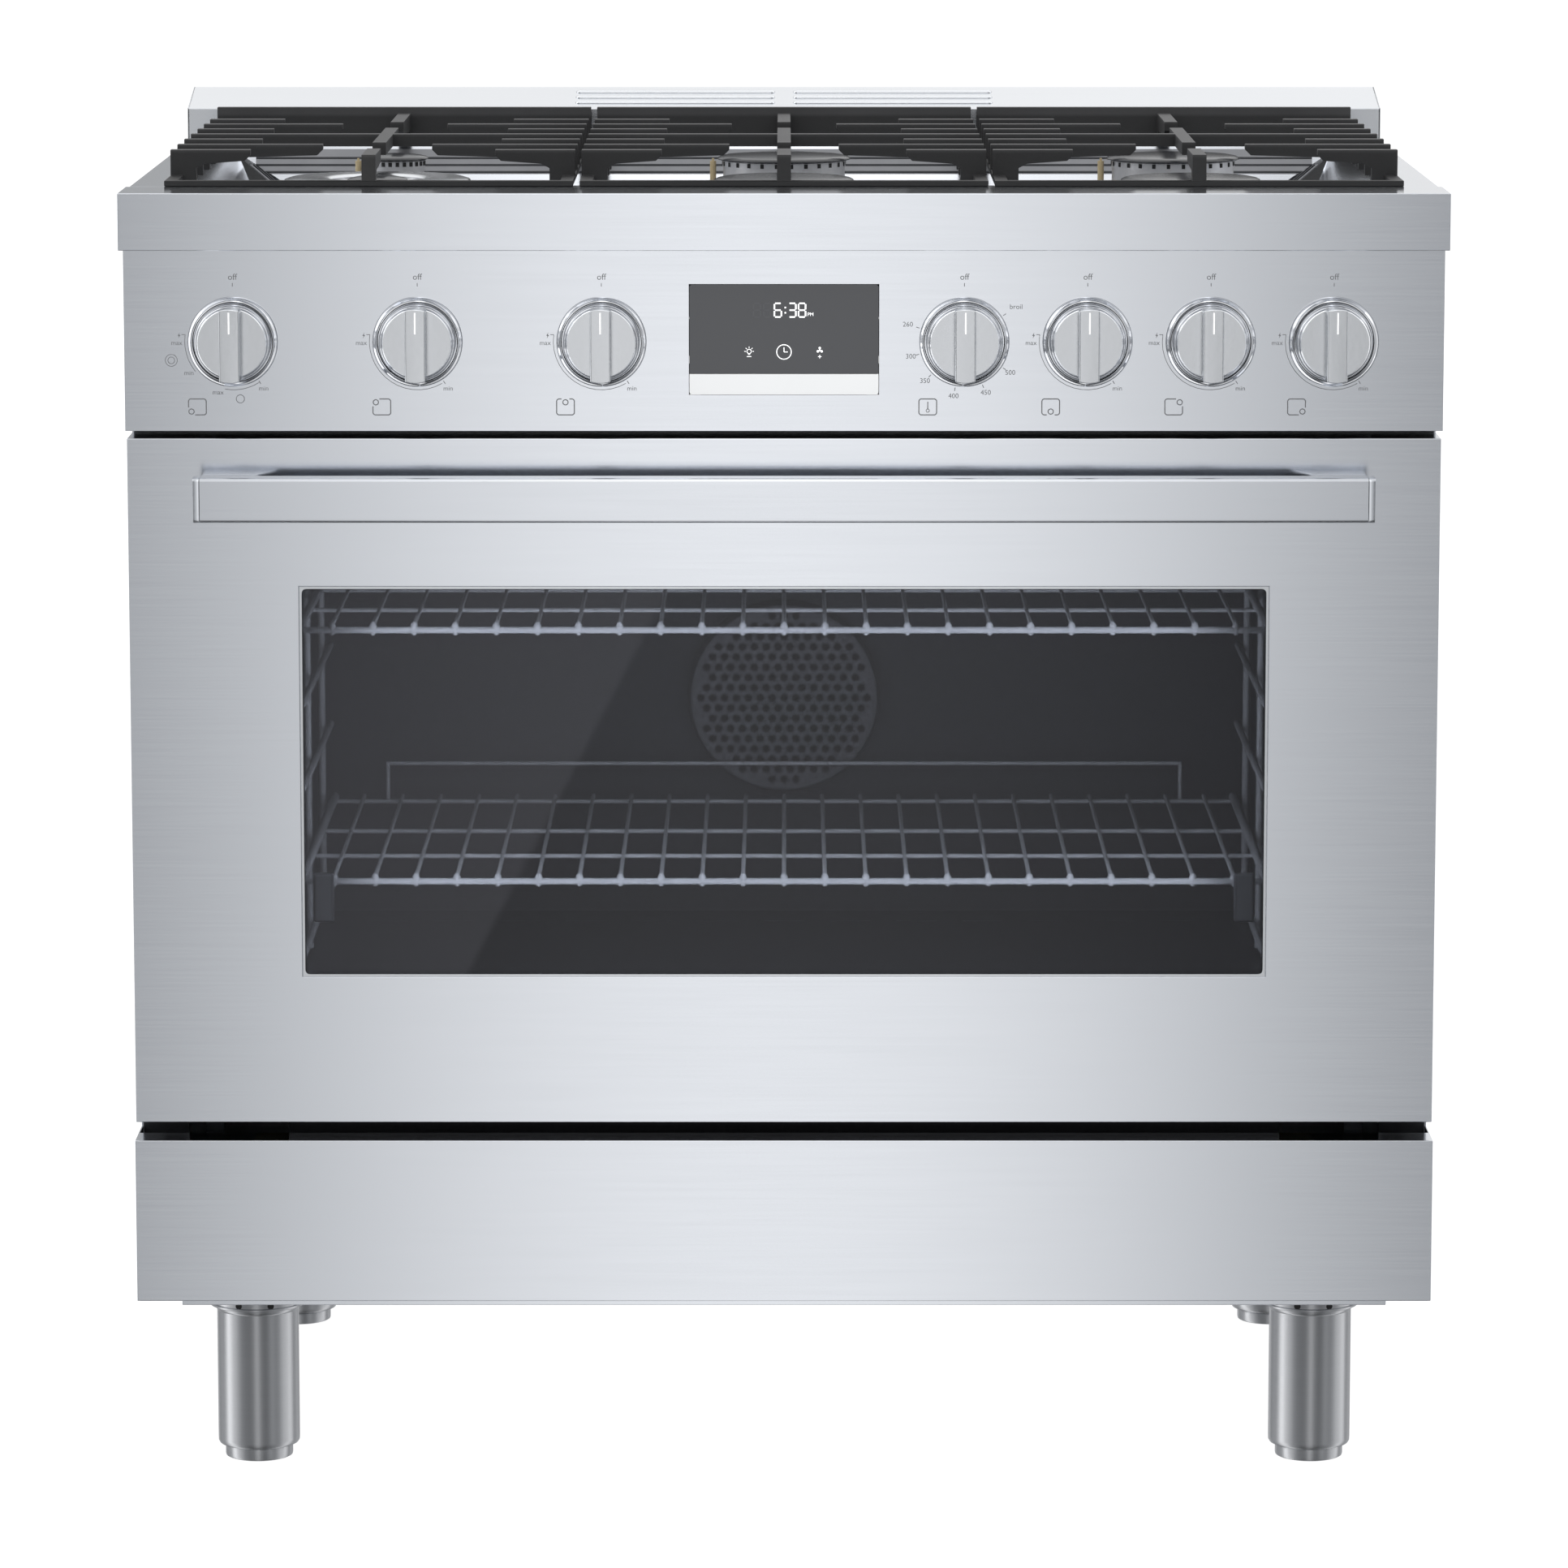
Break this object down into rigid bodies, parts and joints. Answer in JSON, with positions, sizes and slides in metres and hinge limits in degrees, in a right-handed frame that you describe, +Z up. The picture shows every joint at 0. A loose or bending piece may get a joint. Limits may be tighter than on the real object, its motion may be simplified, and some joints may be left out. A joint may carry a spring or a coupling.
{
  "type": "gas range",
  "caption": "Freestanding gas range: stainless body on round legs, cast-iron grates over a recessed cooktop, drop-down oven door with window and bar handle.",
  "frame": {"origin": "centre of the footprint on the floor", "axes": "+Z up, -Y towards the person cooking, +X to their right"},
  "size_m": [0.9128, 0.665, 0.943],
  "materials": {
    "stainless": "fine horizontal brushing",
    "zinc_steel": "zinc coated sheet",
    "foot_steel": "satin",
    "dark_enamel": "vitreous enamel, semi gloss",
    "cast_iron": "matte enamelled casting, worn a little on its top edges",
    "burner_aluminium": "cast, satin",
    "knob_metal": "satin face with polished edges",
    "bezel_chrome": "polished",
    "rack_wire": "bright plated wire",
    "valve_brass": "machined",
    "window_glass": "tinted",
    "display_glass": "dark glass with a plain light strip",
    "circuit_board": "solder mask",
    "seal": "woven heat-proof seal",
    "mineral_wool": "blanket",
    "igniter_ceramic": "glazed ceramic"
  },
  "bodies": {
    "range_body": {"base_pan": "stainless", "side_panels": "stainless", "kick_panel": "stainless", "legs": "stainless", "cooktop_deck": "stainless", "front_fascia": "stainless", "control_panel": "stainless", "vent_trim": "stainless", "oven_front_frame": "stainless", "rear_panel": "zinc_steel", "flue_duct": "zinc_steel", "fan_motor": "zinc_steel", "hinge_brackets": "zinc_steel", "oven_burners": "zinc_steel", "oven_liner": "dark_enamel", "oven_floor": "dark_enamel", "burner_caps": "dark_enamel", "burner_heads": "burner_aluminium", "gas_lines": "burner_aluminium", "knob_bezels": "bezel_chrome", "rack_supports": "rack_wire", "fan_cover": "rack_wire", "gas_valves": "valve_brass", "oven_lamps": "window_glass", "display_glass": "display_glass", "control_board": "circuit_board", "door_gasket": "seal", "insulation": "mineral_wool", "igniters": "igniter_ceramic"},
    "door": {"door_skin": "stainless", "door_liner": "stainless", "outer_glass": "window_glass", "inner_glass": "window_glass", "handle_bar": "stainless", "handle_posts": "stainless", "hinge_arms": "zinc_steel"},
    "grate_left": {"grate_left": "cast_iron"},
    "grate_centre": {"grate_centre": "cast_iron"},
    "grate_right": {"grate_right": "cast_iron"},
    "rack_lower": {"rack_lower": "rack_wire"},
    "rack_upper": {"rack_upper": "rack_wire"},
    "convection_fan": {"convection_fan": "rack_wire"},
    "valve_stem_1": {"valve_stem_1": "valve_brass"},
    "knob_1": {"knob_1": "knob_metal"},
    "valve_stem_2": {"valve_stem_2": "valve_brass"},
    "knob_2": {"knob_2": "knob_metal"},
    "valve_stem_3": {"valve_stem_3": "valve_brass"},
    "knob_3": {"knob_3": "knob_metal"},
    "valve_stem_4": {"valve_stem_4": "valve_brass"},
    "knob_4": {"knob_4": "knob_metal"},
    "valve_stem_5": {"valve_stem_5": "valve_brass"},
    "knob_5": {"knob_5": "knob_metal"},
    "valve_stem_6": {"valve_stem_6": "valve_brass"},
    "knob_6": {"knob_6": "knob_metal"},
    "valve_stem_7": {"valve_stem_7": "valve_brass"},
    "knob_7": {"knob_7": "knob_metal"},
    "foot_front_left": {"foot_front_left": "foot_steel"},
    "foot_front_right": {"foot_front_right": "foot_steel"},
    "foot_rear_left": {"foot_rear_left": "foot_steel"},
    "foot_rear_right": {"foot_rear_right": "foot_steel"}
  },
  "joints": [
    {"name": "door_hinge", "type": "hinge", "parent": "range_body", "child": "door", "pos_m": [0, -0.2625, 0.2637], "axis": [1, 0, 0], "range_deg": [0, 90]},
    {"name": "grate_left_lift", "type": "slide", "parent": "range_body", "child": "grate_left", "axis": [0, 0, 1], "range_m": [0, 0.15]},
    {"name": "grate_centre_lift", "type": "slide", "parent": "range_body", "child": "grate_centre", "axis": [0, 0, 1], "range_m": [0, 0.15]},
    {"name": "grate_right_lift", "type": "slide", "parent": "range_body", "child": "grate_right", "axis": [0, 0, 1], "range_m": [0, 0.15]},
    {"name": "rack_lower_slide", "type": "slide", "parent": "range_body", "child": "rack_lower", "axis": [0, -1, 0], "range_m": [0, 0.2]},
    {"name": "rack_upper_slide", "type": "slide", "parent": "range_body", "child": "rack_upper", "axis": [0, -1, 0], "range_m": [0, 0.32]},
    {"name": "fan_spin", "type": "hinge", "parent": "range_body", "child": "convection_fan", "pos_m": [0, 0.1875, 0.49], "axis": [0, 1, 0], "continuous": true},
    {"name": "knob_1_push", "type": "slide", "parent": "range_body", "child": "valve_stem_1", "axis": [0, 1, 0], "range_m": [0, 0.004], "stiffness_N_per_m": 800},
    {"name": "knob_1_turn", "type": "hinge", "parent": "valve_stem_1", "child": "knob_1", "pos_m": [-0.379, -0.2925, 0.8022], "axis": [0, -1, 0], "range_deg": [0, 190]},
    {"name": "knob_2_push", "type": "slide", "parent": "range_body", "child": "valve_stem_2", "axis": [0, 1, 0], "range_m": [0, 0.004], "stiffness_N_per_m": 800},
    {"name": "knob_2_turn", "type": "hinge", "parent": "valve_stem_2", "child": "knob_2", "pos_m": [-0.252, -0.2925, 0.8022], "axis": [0, -1, 0], "range_deg": [0, 215]},
    {"name": "knob_3_push", "type": "slide", "parent": "range_body", "child": "valve_stem_3", "axis": [0, 1, 0], "range_m": [0, 0.004], "stiffness_N_per_m": 800},
    {"name": "knob_3_turn", "type": "hinge", "parent": "valve_stem_3", "child": "knob_3", "pos_m": [-0.1255, -0.2925, 0.8022], "axis": [0, -1, 0], "range_deg": [0, 215]},
    {"name": "knob_4_push", "type": "slide", "parent": "range_body", "child": "valve_stem_4", "axis": [0, 1, 0], "range_m": [0, 0.004], "stiffness_N_per_m": 800},
    {"name": "knob_4_turn", "type": "hinge", "parent": "valve_stem_4", "child": "knob_4", "pos_m": [0.124, -0.2925, 0.8022], "axis": [0, -1, 0], "range_deg": [0, 304]},
    {"name": "knob_5_push", "type": "slide", "parent": "range_body", "child": "valve_stem_5", "axis": [0, 1, 0], "range_m": [0, 0.004], "stiffness_N_per_m": 800},
    {"name": "knob_5_turn", "type": "hinge", "parent": "valve_stem_5", "child": "knob_5", "pos_m": [0.2087, -0.2925, 0.8022], "axis": [0, -1, 0], "range_deg": [0, 215]},
    {"name": "knob_6_push", "type": "slide", "parent": "range_body", "child": "valve_stem_6", "axis": [0, 1, 0], "range_m": [0, 0.004], "stiffness_N_per_m": 800},
    {"name": "knob_6_turn", "type": "hinge", "parent": "valve_stem_6", "child": "knob_6", "pos_m": [0.2934, -0.2925, 0.8022], "axis": [0, -1, 0], "range_deg": [0, 215]},
    {"name": "knob_7_push", "type": "slide", "parent": "range_body", "child": "valve_stem_7", "axis": [0, 1, 0], "range_m": [0, 0.004], "stiffness_N_per_m": 800},
    {"name": "knob_7_turn", "type": "hinge", "parent": "valve_stem_7", "child": "knob_7", "pos_m": [0.378, -0.2925, 0.8022], "axis": [0, -1, 0], "range_deg": [0, 215]},
    {"name": "foot_front_left_screw", "type": "slide", "parent": "range_body", "child": "foot_front_left", "axis": [0, 0, -1], "range_m": [0, 0.025]},
    {"name": "foot_front_right_screw", "type": "slide", "parent": "range_body", "child": "foot_front_right", "axis": [0, 0, -1], "range_m": [0, 0.025]},
    {"name": "foot_rear_left_screw", "type": "slide", "parent": "range_body", "child": "foot_rear_left", "axis": [0, 0, -1], "range_m": [0, 0.025]},
    {"name": "foot_rear_right_screw", "type": "slide", "parent": "range_body", "child": "foot_rear_right", "axis": [0, 0, -1], "range_m": [0, 0.025]}
  ],
  "couplings": [
    {"joint": "rack_lower_slide", "follows": "door_hinge", "m_per_rad": 0.12},
    {"joint": "rack_upper_slide", "follows": "door_hinge", "m_per_rad": 0.2}
  ]
}
